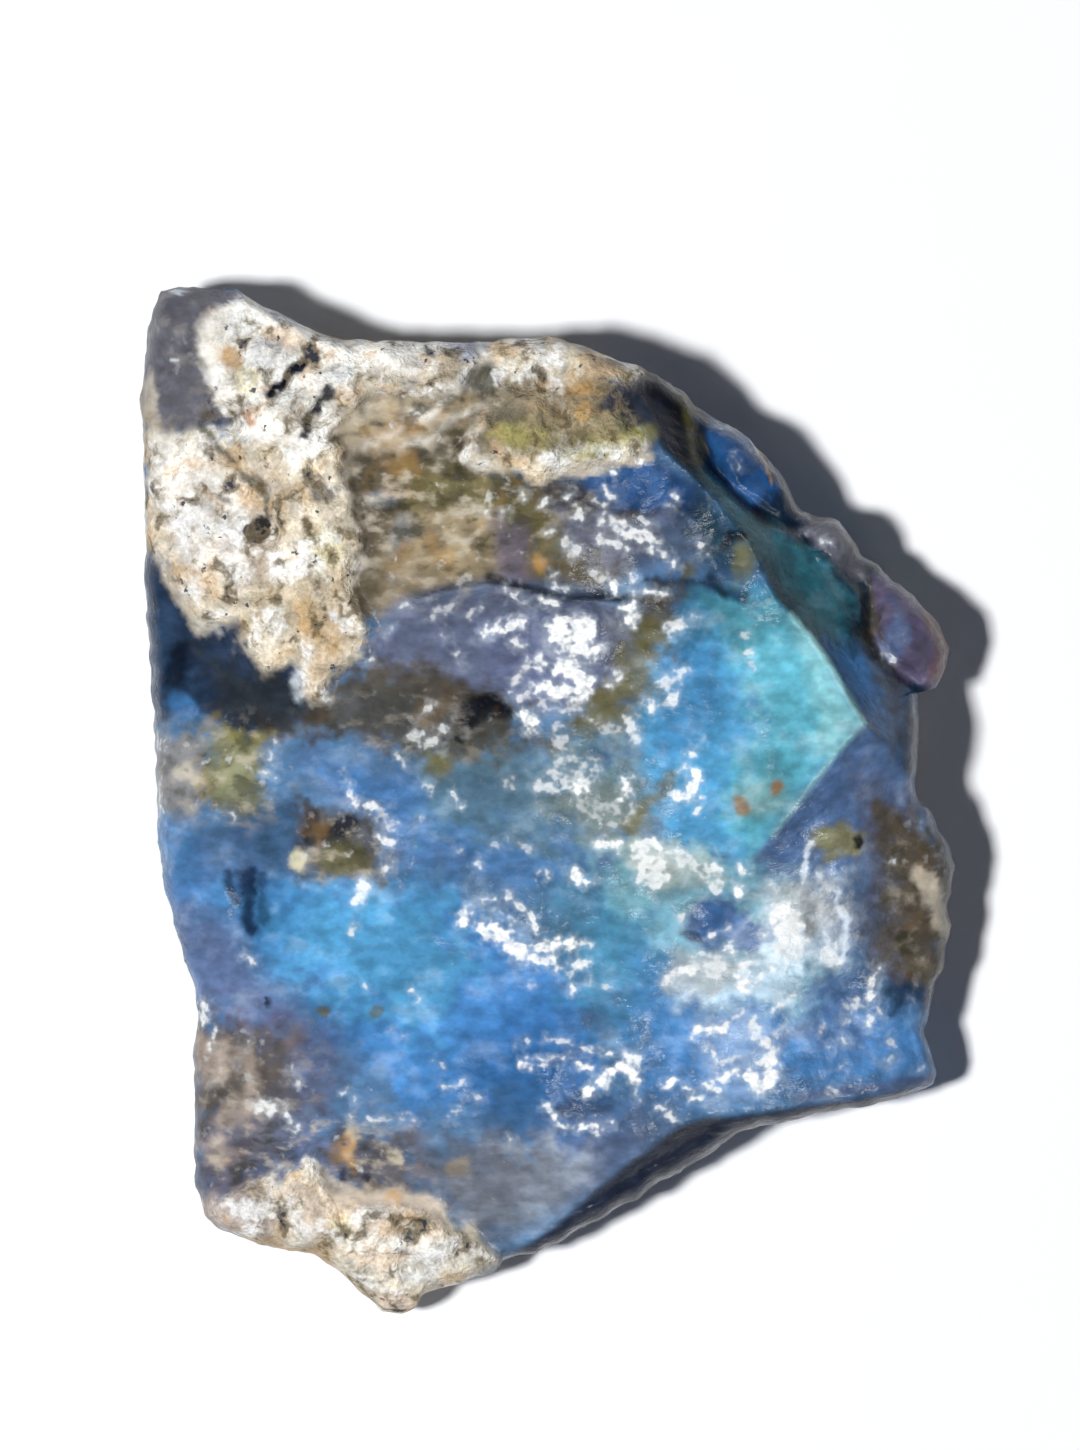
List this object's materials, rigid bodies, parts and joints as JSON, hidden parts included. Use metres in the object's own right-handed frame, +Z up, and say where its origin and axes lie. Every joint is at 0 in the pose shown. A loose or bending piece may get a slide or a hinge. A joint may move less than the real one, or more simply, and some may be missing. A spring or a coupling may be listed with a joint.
{
  "type": "rough opal",
  "caption": "Uncut chunk of blue opal with rough host-rock crust, broken faces and a level underside to lie on.",
  "frame": {"origin": "centre of the footprint, on the surface the stone lies on", "axes": "+X to the steep dark side, +Y along the length to the crusted end, +Z up through the thickness"},
  "size_m": [0.0451, 0.0569, 0.017],
  "materials": {
    "opal": "broken, part glassy and part matt"
  },
  "bodies": {
    "root": {"rough_opal": "opal"}
  },
  "joints": []
}
